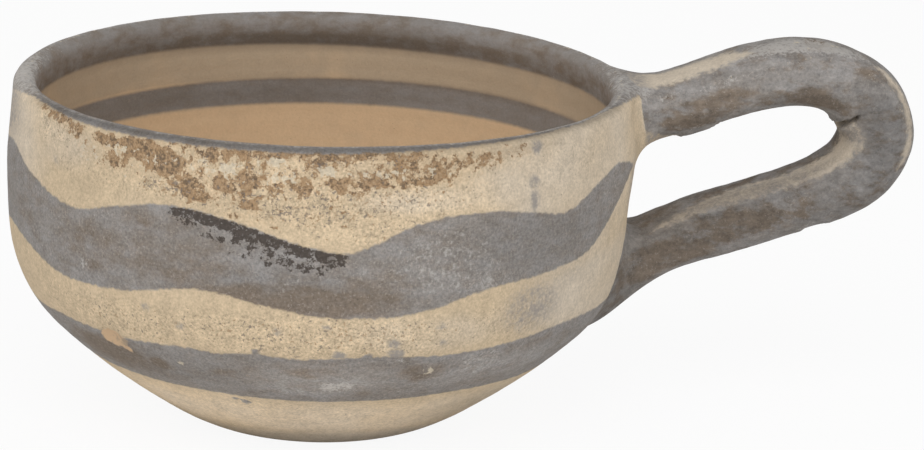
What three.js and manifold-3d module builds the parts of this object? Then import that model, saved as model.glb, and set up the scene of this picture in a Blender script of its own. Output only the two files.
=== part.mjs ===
// Wheel-thrown bowl with one thick loop handle, its ends luted on with clay at the rim and the lower wall.
// Millimetres, +Z up, origin at the centre of the flat base, handle along +X.

import * as THREE from 'three';
import { mergeVertices } from 'three/addons/utils/BufferGeometryUtils.js';
import Module from 'manifold-3d';

const wasm = await Module();
wasm.setup();

// Driving dimensions of the bowl
const baseRadius = 23.7;
const lipHeight = 66.0;
const lipRadius = 2.2;
const lipCentreRadius = 56.6;
const floorThickness = 5.8;
const turnSegments = 64;
const wallSteps = 16;
const insideSteps = 12;
const lipSteps = 6;

// Outside and inside of the wall as [radius, height], from the base up and from the lip down
const outsideWall = [
  [27.0, 1.3], [31.4, 3.8], [38.5, 8.9], [47.2, 16.0], [55.2, 24.3], [59.0, 33.2], [60.0, 48.0], [58.8, 63.8],
];
const insideWall = [
  [54.4, 63.8], [55.5, 48.0], [54.4, 34.4], [50.2, 25.8], [42.6, 18.6], [33.0, 12.2], [20.0, 7.4],
  [0.0, floorThickness],
];

// Driving dimensions of the handle: centre line as [reach, height], and half sizes of its section
const handleRoute = [
  [59.6, 60.8], [65.5, 61.0], [74.8, 63.9], [84.0, 66.7], [91.5, 67.7], [98.5, 66.5], [104.5, 62.7],
  [107.6, 55.8], [104.8, 49.2], [98.8, 44.8], [85.3, 39.9], [71.2, 35.4], [55.0, 28.9],
];
const handleHalfWidth = 9.0;
const handleHalfThickness = [5.9, 5.9, 6.2, 6.5, 7.2, 6.6, 5.9, 5.8, 5.5, 5.3];
const sectionSquareness = 2.5;
const sectionPoints = 22;
const handleSteps = 40;

// Driving dimensions of the luting clay: how far it spreads on the handle and over the wall
const clearance = 0.3;
const collarThickness = 0.9;
const luteSteps = 5;
const wallBite = 3.0;
const upperCollarReach = 0.055;
const upperSpread = { azimuth: 15.0, top: 66.6, bottom: 49.5, facing: 1 };
const lowerCollarReach = 0.09;
const lowerSpread = { azimuth: 13.0, top: 40.0, bottom: 15.5, facing: -1 };
const creaseSteps = 40;

// Vertices closer than this are one vertex
const mergeTolerance = 1e-4;

function splineThrough(pairs) {
  return new THREE.SplineCurve(pairs.map(([radius, height]) => new THREE.Vector2(radius, height)));
}

const wallCurve = splineThrough(outsideWall);

// Half-round lip from the outside of the wall over to its inside, grown by a margin
function lipPoints(margin) {
  const centre = new THREE.Vector2(lipCentreRadius, lipHeight - lipRadius);
  const radius = lipRadius + margin;
  return Array.from({ length: lipSteps + 1 }, (_, step) => {
    const angle = Math.PI * step / lipSteps;
    return new THREE.Vector2(centre.x + radius * Math.cos(angle), centre.y + radius * Math.sin(angle));
  });
}

// Lip from the outside up to its crest
const lipToCrest = (margin) => lipPoints(margin).slice(0, lipSteps / 2 + 1);

// Outside of the bowl from the axis under the base up to the lip, grown by a margin
function outsidePoints(margin) {
  const wall = wallCurve.getSpacedPoints(wallSteps).map((point, step) => {
    const tangent = wallCurve.getTangentAt(step / wallSteps);
    return new THREE.Vector2(point.x + margin * tangent.y, point.y - margin * tangent.x);
  });
  return [new THREE.Vector2(0, -margin), new THREE.Vector2(baseRadius, -margin), ...wall.slice(0, -1)];
}

const wallSamples = [...outsidePoints(0), ...lipToCrest(0)];

// Outer radius of the bowl at a height, and the crest's radius above the lip
function wallRadius(height) {
  const above = wallSamples.findIndex((sample) => sample.y > height);
  if (above === -1) return lipCentreRadius;
  const low = wallSamples[above - 1];
  const high = wallSamples[above];
  return THREE.MathUtils.mapLinear(height, low.y, high.y, low.x, high.x);
}

function turned(points) {
  return new THREE.LatheGeometry(points, turnSegments).rotateX(Math.PI / 2);
}

// A closed solid with the position attribute alone, as the boolean library takes it
function toSolid(geometry) {
  geometry.deleteAttribute('normal');
  geometry.deleteAttribute('uv');
  const merged = mergeVertices(geometry, mergeTolerance);
  const vertProperties = Float32Array.from(merged.attributes.position.array);
  const triVerts = Uint32Array.from(merged.index.array);
  return new wasm.Manifold(new wasm.Mesh({ numProp: 3, vertProperties, triVerts }));
}

function toGeometry(solid) {
  const mesh = solid.getMesh();
  const geometry = new THREE.BufferGeometry();
  geometry.setAttribute('position', new THREE.BufferAttribute(mesh.vertProperties, 3));
  geometry.setIndex(new THREE.BufferAttribute(mesh.triVerts, 1));
  geometry.computeVertexNormals();
  return geometry;
}

function middleOf(ring) {
  return ring.reduce((sum, point) => sum.add(point), new THREE.Vector3()).divideScalar(ring.length);
}

// Closed solid through a row of rings of points, with a fan over the first and the last ring
function lofted(rings) {
  const count = rings[0].length;
  const points = rings.flat();
  const first = points.push(middleOf(rings[0])) - 1;
  const last = points.push(middleOf(rings[rings.length - 1])) - 1;
  const index = [];
  for (let ring = 0; ring < rings.length - 1; ring += 1) {
    for (let side = 0; side < count; side += 1) {
      const a = ring * count + side;
      const b = ring * count + (side + 1) % count;
      index.push(a, a + count, b, b, a + count, b + count);
    }
  }
  const lastRing = (rings.length - 1) * count;
  for (let side = 0; side < count; side += 1) {
    const next = (side + 1) % count;
    index.push(first, side, next);
    index.push(last, lastRing + next, lastRing + side);
  }
  const geometry = new THREE.BufferGeometry().setFromPoints(points);
  geometry.setIndex(index);
  return geometry;
}

const routePoints = handleRoute.map(([reach, height]) => new THREE.Vector3(reach, 0, height));
const route = new THREE.CatmullRomCurve3(routePoints);
const sideways = new THREE.Vector3(0, 1, 0);

function halfThickness(along) {
  const place = along * (handleHalfThickness.length - 1);
  const low = Math.min(Math.floor(place), handleHalfThickness.length - 2);
  return THREE.MathUtils.lerp(handleHalfThickness[low], handleHalfThickness[low + 1], place - low);
}

// Unit outline of the rounded strap, with x towards the outer face of the loop and y sideways
const sectionOutline = Array.from({ length: sectionPoints }, (_, point) => {
  const angle = 2 * Math.PI * point / sectionPoints;
  const power = (value) => Math.sign(value) * Math.abs(value) ** (2 / sectionSquareness);
  return new THREE.Vector2(power(Math.cos(angle)), power(Math.sin(angle)));
});

// Section of the handle at a share of its route, grown by a margin
function handleSection(along, margin) {
  const centre = route.getPointAt(along);
  const outward = new THREE.Vector3().crossVectors(route.getTangentAt(along), sideways);
  return sectionOutline.map((unit) => centre.clone()
    .addScaledVector(outward, unit.x * (halfThickness(along) + margin))
    .addScaledVector(sideways, unit.y * (handleHalfWidth + margin)));
}

function handleSolid(margin) {
  const stations = Array.from({ length: handleSteps + 1 }, (_, step) => step / handleSteps);
  return toSolid(lofted(stations.map((along) => handleSection(along, margin))));
}

// Outline of luting clay on the wall, a rounded oblong in azimuth and height, sunk by a bite
function wallOutline(spread, bite) {
  const middle = (spread.top + spread.bottom) / 2;
  const reach = (spread.top - spread.bottom) / 2;
  return sectionOutline.map((unit) => {
    const azimuth = THREE.MathUtils.degToRad(spread.azimuth) * unit.y;
    const height = middle + reach * unit.x * spread.facing;
    const radius = wallRadius(height) + collarThickness / 2 - bite;
    return new THREE.Vector3(radius * Math.cos(azimuth), radius * Math.sin(azimuth), height);
  });
}

// Line where the handle's surface runs into the wall, or its end where it passes over the lip
function creaseLine(collarAlong, endAlong) {
  const stations = Array.from({ length: creaseSteps + 1 }, (_, step) => {
    const along = THREE.MathUtils.lerp(collarAlong, endAlong, step / creaseSteps);
    return handleSection(along, collarThickness);
  });
  return sectionOutline.map((_, side) => {
    const path = stations.map((station) => station[side]);
    const met = path.find((point) => Math.hypot(point.x, point.y) < wallRadius(point.z) + collarThickness);
    return met ?? path[creaseSteps];
  });
}

// Clay fillet that curves from the handle's surface out onto the wall
function luteBody(collarAlong, endAlong, spread) {
  const collar = handleSection(collarAlong, collarThickness);
  const corner = creaseLine(collarAlong, endAlong);
  const skirt = wallOutline(spread, 0);
  const rings = Array.from({ length: luteSteps + 1 }, (_, step) => {
    const t = step / luteSteps;
    return collar.map((start, side) => start.clone().multiplyScalar((1 - t) ** 2)
      .addScaledVector(corner[side], 2 * t * (1 - t))
      .addScaledVector(skirt[side], t ** 2));
  });
  rings.push(wallOutline(spread, wallBite));
  if (endAlong < collarAlong) rings.reverse();
  return toSolid(lofted(rings));
}

// Space that the filled bowl and the handle take up, with the clearance round them
const filledTop = new THREE.Vector2(0, lipHeight + clearance);
const roomForBowl = toSolid(turned([...outsidePoints(clearance), ...lipToCrest(clearance), filledTop]));
const roomForHandle = handleSolid(clearance);

function bowlBody() {
  const inside = splineThrough(insideWall).getSpacedPoints(insideSteps).slice(1);
  return toSolid(turned([...outsidePoints(0), ...lipPoints(0), ...inside]));
}

function loopHandle() {
  return handleSolid(0).subtract(roomForBowl);
}

function upperLute() {
  return luteBody(upperCollarReach, 0, upperSpread).subtract(roomForHandle).subtract(roomForBowl);
}

function lowerLute() {
  return luteBody(1 - lowerCollarReach, 1, lowerSpread).subtract(roomForHandle).subtract(roomForBowl);
}

function namedMesh(name, solid, colour, roughness) {
  const material = new THREE.MeshStandardMaterial({ color: colour, roughness, metalness: 0 });
  const mesh = new THREE.Mesh(toGeometry(solid), material);
  mesh.name = name;
  return mesh;
}

const bowl = new THREE.Group();
bowl.add(namedMesh('bowl_body', bowlBody(), '#c3ad86', 0.85));
bowl.add(namedMesh('loop_handle', loopHandle(), '#857e79', 0.8));
bowl.add(namedMesh('upper_handle_lute', upperLute(), '#b9a684', 0.85));
bowl.add(namedMesh('lower_handle_lute', lowerLute(), '#7d746d', 0.8));

export default bowl;
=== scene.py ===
# One-handled bowl, turned on the wheel, slipped in cream and painted in dark bands: its finished surfaces
import math
import bpy
import numpy as np
from mathutils import Matrix, Vector
from mathutils.bvhtree import BVHTree


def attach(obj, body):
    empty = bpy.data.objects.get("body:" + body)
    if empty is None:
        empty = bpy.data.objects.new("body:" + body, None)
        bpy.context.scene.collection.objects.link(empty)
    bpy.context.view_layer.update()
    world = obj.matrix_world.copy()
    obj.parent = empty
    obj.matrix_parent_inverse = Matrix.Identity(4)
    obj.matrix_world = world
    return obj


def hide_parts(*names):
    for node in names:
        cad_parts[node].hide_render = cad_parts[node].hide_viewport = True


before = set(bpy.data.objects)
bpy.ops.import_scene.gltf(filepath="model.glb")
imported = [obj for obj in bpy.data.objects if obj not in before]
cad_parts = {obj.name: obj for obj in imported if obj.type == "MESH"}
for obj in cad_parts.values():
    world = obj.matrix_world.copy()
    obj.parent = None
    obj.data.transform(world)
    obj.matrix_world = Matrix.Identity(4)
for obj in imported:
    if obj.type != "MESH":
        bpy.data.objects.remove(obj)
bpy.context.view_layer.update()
mm = 0.001
print("frame loaded")

# node trees written as sums


class Wire:
    # an output socket that can be added, multiplied and compared
    def __init__(self, graph, socket):
        self.graph = graph
        self.socket = socket

    def reckon(self, operation, *values):
        wires = [value for value in values if isinstance(value, Wire)]
        isVector = any(wire.socket.type in {"VECTOR", "RGBA"} for wire in wires)
        kind = "ShaderNodeVectorMath" if isVector else "ShaderNodeMath"
        return self.graph.out(kind, {"operation": operation}, dict(enumerate(values)))

    def __add__(self, other):
        return self.reckon("ADD", self, other)

    def __radd__(self, other):
        return self.reckon("ADD", other, self)

    def __sub__(self, other):
        return self.reckon("SUBTRACT", self, other)

    def __rsub__(self, other):
        return self.reckon("SUBTRACT", other, self)

    def __mul__(self, other):
        return self.reckon("MULTIPLY", self, other)

    def __rmul__(self, other):
        return self.reckon("MULTIPLY", other, self)

    def __truediv__(self, other):
        return self.reckon("DIVIDE", self, other)

    def __pow__(self, other):
        return self.reckon("POWER", self, other)

    def __abs__(self):
        return self.reckon("ABSOLUTE", self)

    def sign(self):
        return self.reckon("SIGN", self)

    def rounded(self):
        return self.reckon("ROUND", self)

    def cosine(self):
        return self.reckon("COSINE", self)

    def sine(self):
        return self.reckon("SINE", self)

    def atLeast(self, other):
        return self.reckon("MAXIMUM", self, other)

    def atMost(self, other):
        return self.reckon("MINIMUM", self, other)

    def above(self, other):
        return self.reckon("GREATER_THAN", self, other)

    def cross(self, other):
        return self.reckon("CROSS_PRODUCT", self, other)

    def ease(self, low, high):
        # 0 at low, 1 at high, smooth between; low may be the larger one
        sockets = {0: self, 1: low, 2: high, 3: 0.0, 4: 1.0}
        return self.graph.out("ShaderNodeMapRange", {"interpolation_type": "SMOOTHSTEP"}, sockets)


class Graph:
    # a node tree, shader or geometry, that nodes are added to
    def __init__(self, tree):
        self.tree = tree

    def add(self, kind, settings=None, sockets=None):
        node = self.tree.nodes.new(kind)
        for key, value in (settings or {}).items():
            if key == "curve":
                self.bend(node.mapping, value)
            else:
                setattr(node, key, value)
        for key, value in (sockets or {}).items():
            self.plug(node.inputs[key], value)
        return node

    def bend(self, mapping, points):
        line = mapping.curves[0]
        while len(line.points) < len(points):
            line.points.new(0.5, 0.5)
        for point, place in zip(line.points, points):
            point.location = place
        mapping.update()

    def plug(self, socket, value):
        if isinstance(value, Wire):
            self.tree.links.new(value.socket, socket)
        elif socket.type == "VECTOR" and isinstance(value, (int, float)):
            socket.default_value = (value, value, value)
        elif socket.type == "RGBA":
            socket.default_value = (*value[:3], 1.0)
        else:
            socket.default_value = value

    def out(self, kind, settings=None, sockets=None, output=0):
        return Wire(self, self.add(kind, settings, sockets).outputs[output])

    def join(self, x, y, z):
        return self.out("ShaderNodeCombineXYZ", None, {0: x, 1: y, 2: z})

    def split(self, vector):
        node = self.add("ShaderNodeSeparateXYZ", None, {0: vector})
        return [Wire(self, output) for output in node.outputs]

    def noise(self, place, size, detail=2.0, roughness=0.5, seed=0.0):
        # grain of that size in the units of the place, about 0 to 1 with its middle at 0.5
        shifted = place + (7.3 * seed, 3.1 * seed, 5.7 * seed)
        sockets = {"Vector": shifted, "Scale": 1.0 / size, "Detail": detail, "Roughness": roughness}
        return self.out("ShaderNodeTexNoise", None, sockets)

    def grain(self, place, size, detail=2.0, roughness=0.5, seed=0.0):
        # the same noise, spread to about -1 to 1
        return (self.noise(place, size, detail, roughness, seed) - 0.5) * 5.0

    def covered(self, grain, share, softness):
        # patches of that grain which cover about that share of the surface
        return (grain + share * 2.4 - 1.4).ease(-softness, softness)

    def tint(self, share, first, second, way="MIX"):
        # colour mix, with the second colour where the share is 1
        settings = {"data_type": "RGBA", "blend_type": way}
        return self.out("ShaderNodeMix", settings, {0: share, 6: first, 7: second}, 2)

    def named(self, attribute):
        return self.out("ShaderNodeAttribute", {"attribute_name": attribute}, None, "Fac")


# lines and places, in millimetres


def lengthAlong(line):
    return np.concatenate([[0.0], np.cumsum(np.linalg.norm(np.diff(line, axis=0), axis=1))])


def lineThrough(points, spacing):
    # centripetal Catmull-Rom line through the points, at an even spacing
    p = np.array(points, float)
    p = np.vstack([2 * p[0] - p[1], p, 2 * p[-1] - p[-2]])
    t = np.linspace(0, 1, 40, endpoint=False)[:, None]
    pieces = []
    for a, b, c, d in zip(p[:-3], p[1:-2], p[2:-1], p[3:]):
        before, middle, after = (math.sqrt(np.linalg.norm(v)) for v in (b - a, c - b, d - c))
        leave = ((b - a) / before - (c - a) / (before + middle) + (c - b) / middle) * middle
        reach = ((c - b) / middle - (d - b) / (middle + after) + (d - c) / after) * middle
        pieces.append(b * (2 * t**3 - 3 * t**2 + 1) + leave * (t**3 - 2 * t**2 + t)
                      + c * (3 * t**2 - 2 * t**3) + reach * (t**3 - t**2))
    fine = np.vstack(pieces + [p[-2:-1]])
    length = lengthAlong(fine)
    even = np.linspace(0, length[-1], max(2, round(length[-1] / spacing) + 1))
    return np.stack([np.interp(even, length, fine[:, axis]) for axis in range(p.shape[1])], -1)


def placeOn(line, points):
    # length along the line of its nearest place to each point, and the distance from it
    length = lengthAlong(line)
    along = np.empty(len(points))
    offset = np.empty(len(points))
    step = np.diff(line, axis=0)
    size = np.linalg.norm(step, axis=1)
    batch = 4000
    for first in range(0, len(points), batch):
        some = points[first:first + batch]
        gap = some[:, None] - line[None, :-1]
        share = np.clip((gap * step).sum(-1) / size**2, 0, 1)
        away = np.linalg.norm(gap - share[..., None] * step, axis=-1)
        best = away.argmin(1)
        row = np.arange(len(some))
        ahead = (gap[row, best] * step[best]).sum(-1) / size[best]
        isEnd = (best == 0) | (best == len(step) - 1)
        ahead = np.where(isEnd, ahead, share[row, best] * size[best])
        along[first:first + batch] = length[best] + ahead
        offset[first:first + batch] = away[row, best]
    return along, offset


def ringLine(points):
    # smooth height over the azimuth in degrees, which closes on itself
    start = [(azimuth - 360, height) for azimuth, height in points[-3:]]
    end = [(azimuth + 360, height) for azimuth, height in points[:3]]
    line = lineThrough(start + list(points) + end, 1.0)
    return lambda azimuth: np.interp(azimuth, line[:, 0], line[:, 1])


def ease(value, low, high):
    t = np.clip((value - low) / (high - low), 0, 1)
    return t * t * (3 - 2 * t)


def rippled(points, size, seed):
    # soft irregular field from about -1 to 1, the same every run
    rng = np.random.default_rng(seed)
    total = np.zeros(len(points))
    for _ in range(7):
        way = rng.normal(size=points.shape[1])
        turns = 2 * math.pi / (size * rng.uniform(0.7, 1.4) * np.linalg.norm(way))
        total += np.sin(points @ way * turns + rng.uniform(0, 2 * math.pi))
    return total / 3.5


# bowl: the wall's outline as [radius, height], from the base up and from the lip down

bowl = {
    "baseRadius": 23.7,
    "lipHeight": 66.0,
    "lipRadius": 2.2,
    "lipCentreRadius": 56.6,
    "outsideWall": [
        (23.7, 0.0), (27.0, 1.3), (31.4, 3.8), (38.5, 8.9), (47.2, 16.0), (55.2, 24.3), (59.0, 33.2),
        (60.0, 48.0), (58.8, 63.8),
    ],
    "insideWall": [
        (54.4, 63.8), (55.5, 48.0), (54.4, 34.4), (50.2, 25.8), (42.6, 18.6), (33.0, 12.2), (20.0, 7.4),
        (0.0, 5.8),
    ],
    "baseSpacing": 1.3,
    "wallSpacing": 0.78,
    "lipSpacing": 0.46,
    "insideSpacing": 1.25,
    "turnSteps": 440,
    "outOfRound": 0.0035,
    "flatSide": 1.3,
    "lipWave": 0.22,
    "insideRidge": 0.07,
    "ridgePitch": 3.4,
    "handRelief": 0.16,
    "cordCut": 0.13,
}


def bowlOutline():
    lipSteps = round(math.pi * bowl["lipRadius"] / bowl["lipSpacing"])
    angle = np.linspace(0, math.pi, lipSteps + 1)
    lip = np.stack([bowl["lipCentreRadius"] + bowl["lipRadius"] * np.cos(angle),
                    bowl["lipHeight"] - bowl["lipRadius"] + bowl["lipRadius"] * np.sin(angle)], -1)
    underside = lineThrough([(0, 0), (bowl["baseRadius"], 0)], bowl["baseSpacing"])
    outside = lineThrough(bowl["outsideWall"], bowl["wallSpacing"])
    inside = lineThrough(bowl["insideWall"], bowl["insideSpacing"])
    return np.vstack([underside[:-1], outside[:-1], lip[:-1], inside]), len(underside) - 1


outline, baseEdge = bowlOutline()
outlineLength = lengthAlong(outline)
lipCrest = int(outline[:, 1].argmax())
outsidePart = slice(baseEdge, lipCrest + 1)
insidePart = slice(lipCrest, None)


def outsideArc(height):
    # length along the outline up to a height on the outside
    return np.interp(height, outline[outsidePart, 1], outlineLength[outsidePart])


def insideArc(height):
    # length along the outline, over the lip and down to a height inside
    return np.interp(height, outline[insidePart, 1][::-1], outlineLength[insidePart][::-1])


def outsidePoint(azimuth, height):
    radius = np.interp(height, outline[outsidePart, 1], outline[outsidePart, 0])
    angle = np.radians(azimuth)
    return np.array([radius * np.cos(angle), radius * np.sin(angle), height])


def lineObject(name, points):
    # open line of straight steps, in metres
    data = bpy.data.curves.new(name, "CURVE")
    data.dimensions = "3D"
    line = data.splines.new("POLY")
    line.points.add(len(points) - 1)
    for point, place in zip(line.points, points):
        point.co = (*(place * mm), 1.0)
    holder = bpy.data.objects.new(name, data)
    bpy.context.scene.collection.objects.link(holder)
    return holder


def treeOf(name, sizes):
    # geometry tree with named inputs, and the wires that carry them
    tree = bpy.data.node_groups.new(name, "GeometryNodeTree")
    tree.interface.new_socket("Shape", in_out="OUTPUT", socket_type="NodeSocketGeometry")
    for label, kind in sizes.items():
        tree.interface.new_socket(label, in_out="INPUT", socket_type="NodeSocket" + kind)
    graph = Graph(tree)
    entry = graph.add("NodeGroupInput")
    return graph, {label: Wire(graph, entry.outputs[label]) for label in sizes}


def closeTree(graph, shape, material):
    smooth = graph.out("GeometryNodeSetShadeSmooth", None, {"Geometry": shape})
    real = graph.out("GeometryNodeRealizeInstances", None, {"Geometry": smooth})
    finished = graph.out("GeometryNodeSetMaterial", None, {"Geometry": real, "Material": material})
    graph.add("NodeGroupOutput", None, {0: finished})


def grown(name, graph, values):
    # plain mesh object made by a geometry tree
    holder = bpy.data.objects.new(name, bpy.data.meshes.new(name + "Start"))
    bpy.context.scene.collection.objects.link(holder)
    modifier = holder.modifiers.new(name, "NODES")
    modifier.node_group = graph.tree
    for item in graph.tree.interface.items_tree:
        if item.in_out == "INPUT":
            modifier[item.identifier] = values[item.name]
    evaluated = holder.evaluated_get(bpy.context.evaluated_depsgraph_get())
    mesh = bpy.data.meshes.new_from_object(evaluated)
    mesh.name = name
    holder.modifiers.remove(modifier)
    holder.data = mesh
    return holder


def ringGrid(graph, steps, turns, sense):
    # grid whose rows become rings: its mesh, the step number along, and the angle round in radians
    grid = graph.out("GeometryNodeMeshGrid", None, {0: 1.0, 1: 1.0, 2: steps, 3: turns + 1})
    x, y, _ = graph.split(graph.out("GeometryNodeInputPosition"))
    number = ((x + 0.5) * (steps - 1)).rounded()
    return grid, number, (y + 0.5) * (2 * math.pi * sense)


def closeSeams(graph, shape):
    return graph.out("GeometryNodeMergeByDistance", None, {"Geometry": shape, "Distance": 1e-6})


def pushed(graph, shape, height):
    # every point moved along its normal, by a height in millimetres
    offset = graph.out("GeometryNodeInputNormal") * (height * mm)
    return graph.out("GeometryNodeSetPosition", None, {"Geometry": shape, "Offset": offset})


def turnedTree():
    sizes = {"Outline": "Object", "Steps": "Int", "Turns": "Int", "Lip Step": "Int", "Lip Height": "Float",
             "Base Radius": "Float", "Out Of Round": "Float", "Flat Side": "Float", "Lip Wave": "Float", "Ridge": "Float",
             "Ridge Pitch": "Float", "Relief": "Float", "Cord Cut": "Float", "Clay": "Material"}
    g, size = treeOf("turnedBowl", sizes)
    grid, number, angle = ringGrid(g, size["Steps"], size["Turns"], -1)
    source = g.out("GeometryNodeObjectInfo", None, {"Object": size["Outline"]}, "Geometry")
    picked = {"data_type": "FLOAT_VECTOR", "domain": "POINT"}
    point = g.out("GeometryNodeSampleIndex", picked,
                  {"Geometry": source, "Value": g.out("GeometryNodeInputPosition"), "Index": number})
    radius, _, height = g.split(point)
    share = height * 1000.0 / size["Lip Height"]
    oval = (angle * 2.0 + 0.8).cosine() + (angle * 3.0 + 2.1).cosine() * 0.45
    radius = radius * (oval * share * size["Out Of Round"] + 1.0)
    # the wall is drawn in a little beside the handle
    level = height * 1000.0
    drawnIn = (angle + 0.21).cosine().ease(0.45, 1.0) * level.ease(22.0, 38.0) * level.ease(58.0, 40.0)
    radius = radius - drawnIn * size["Flat Side"] * mm
    dip = (angle * 2.0 + 2.6).cosine() * 0.6 + (angle * 5.0 + 0.4).cosine() * 0.25
    height = height + dip * share**3.0 * size["Lip Wave"] * mm
    place = g.join(radius * angle.cosine(), radius * angle.sine(), height)
    shape = g.out("GeometryNodeStoreNamedAttribute", {"data_type": "FLOAT", "domain": "POINT"},
                  {"Geometry": grid, "Name": "inner", "Value": number.above(size["Lip Step"])})
    shape = g.out("GeometryNodeSetPosition", None, {"Geometry": shape, "Position": place})
    shape = closeSeams(g, shape)
    point = g.out("GeometryNodeInputPosition") * 1000.0
    x, y, z = g.split(point)
    out = (x * x + y * y) ** 0.5
    inner = g.out("GeometryNodeInputNamedAttribute", {"data_type": "FLOAT"}, {"Name": "inner"})
    broad = (g.noise(point, 13.0, 1.0, 0.5, 2) - 0.5) * 2.0
    fine = (g.noise(point * (1.0, 1.0, 2.6), 3.2, 2.0, 0.55, 5) - 0.5) * 0.8
    relief = (broad + fine) * size["Relief"] * z.ease(0.2, 3.0)
    ridges = ((z + out * 0.35) * (2 * math.pi) / size["Ridge Pitch"]).sine()
    relief = relief + ridges * size["Ridge"] * inner * z.ease(62.0, 55.0)
    # the cord that cut the base from the wheel left shallow loops in it
    fromPost = ((x - 9.0) ** 2.0 + (y + 6.0) ** 2.0) ** 0.5
    loops = (fromPost * 2.4 + g.noise(point, 6.0, 1.0, 0.5, 9) * 3.0).sine() * 0.5 + 0.5
    underside = z.ease(0.05, 0.02) * out.ease(size["Base Radius"], size["Base Radius"] - 2.0)
    relief = relief - loops * size["Cord Cut"] * underside
    closeTree(g, pushed(g, shape, relief), size["Clay"])
    return g


def makeBowl(clay):
    outlineHolder = lineObject("bowlOutline", np.insert(outline, 1, 0.0, axis=1))
    values = {"Outline": outlineHolder, "Steps": len(outline), "Turns": bowl["turnSteps"], "Lip Step": lipCrest,
              "Lip Height": bowl["lipHeight"], "Base Radius": bowl["baseRadius"],
              "Out Of Round": bowl["outOfRound"], "Flat Side": bowl["flatSide"], "Lip Wave": bowl["lipWave"], "Ridge": bowl["insideRidge"],
              "Ridge Pitch": bowl["ridgePitch"], "Relief": bowl["handRelief"], "Cord Cut": bowl["cordCut"],
              "Clay": clay}
    holder = grown("bowlBody", turnedTree(), values)
    bpy.data.objects.remove(outlineHolder)
    return holder


# handle: a thick strap of clay bent round, its centre line as [reach, height]

handle = {
    "route": [
        (57.0, 60.6), (59.6, 60.8), (65.5, 61.0), (74.8, 63.9), (84.0, 66.7), (91.5, 67.7), (98.5, 66.5),
        (104.5, 62.7), (107.6, 55.8), (104.8, 49.2), (98.8, 44.8), (85.3, 39.9), (71.2, 35.4), (55.0, 28.9),
    ],
    "rootReach": 59.6,
    "halfWidth": 9.0,
    "halfThickness": [
        (0.0, 3.4), (0.03, 5.5), (0.13, 5.9), (0.25, 6.2), (0.35, 6.5), (0.45, 7.2), (0.56, 6.6), (0.67, 5.9),
        (0.78, 5.8), (0.89, 5.5), (1.0, 5.3),
    ],
    "thickest": 10.0,
    "endLean": 0.9,
    "squareness": 2.5,
    "spacing": 0.5,
    "rings": 300,
    "turnSteps": 150,
    "broadRelief": 0.34,
    "fineRelief": 0.13,
}

handleLine = lineThrough(handle["route"], handle["spacing"])
handleLength = lengthAlong(handleLine)
rootAlong = float(np.interp(handle["rootReach"], handleLine[:20, 0], handleLength[:20]))
handleWay = np.gradient(handleLine, axis=0)
handleWay /= np.linalg.norm(handleWay, axis=1)[:, None]
handleOut = np.stack([-handleWay[:, 1], handleWay[:, 0]], -1)


def halfThicknessAt(along):
    shares, sizes = zip(*handle["halfThickness"])
    return np.interp(along / handleLength[-1], shares, sizes)


def handlePoint(along, around):
    # place on the strap: millimetres from its root, and degrees round it from its outer face to its near side
    full = np.asarray(along, float) + rootAlong
    centre = np.stack([np.interp(full, handleLength, handleLine[:, axis]) for axis in (0, 1)], -1)
    out = np.stack([np.interp(full, handleLength, handleOut[:, axis]) for axis in (0, 1)], -1)
    angle = np.radians(around)
    power = 2 / handle["squareness"]
    rise = np.sign(np.cos(angle)) * np.abs(np.cos(angle)) ** power * halfThicknessAt(full)
    side = np.sign(np.sin(angle)) * np.abs(np.sin(angle)) ** power * handle["halfWidth"]
    flat = centre + out * rise[..., None]
    return np.stack([flat[..., 0], side, flat[..., 1]], -1)


def handlePlace(points):
    # the other way round: millimetres from the root and degrees round the strap
    along, _ = placeOn(handleLine, points[:, [0, 2]])
    centre = np.stack([np.interp(along, handleLength, handleLine[:, axis]) for axis in (0, 1)], -1)
    out = np.stack([np.interp(along, handleLength, handleOut[:, axis]) for axis in (0, 1)], -1)
    rise = ((points[:, [0, 2]] - centre) * out).sum(-1) / halfThicknessAt(along)
    side = points[:, 1] / handle["halfWidth"]
    power = handle["squareness"] / 2
    around = np.degrees(np.arctan2(np.sign(side) * np.abs(side) ** power, np.sign(rise) * np.abs(rise) ** power))
    return along - rootAlong, around


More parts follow.
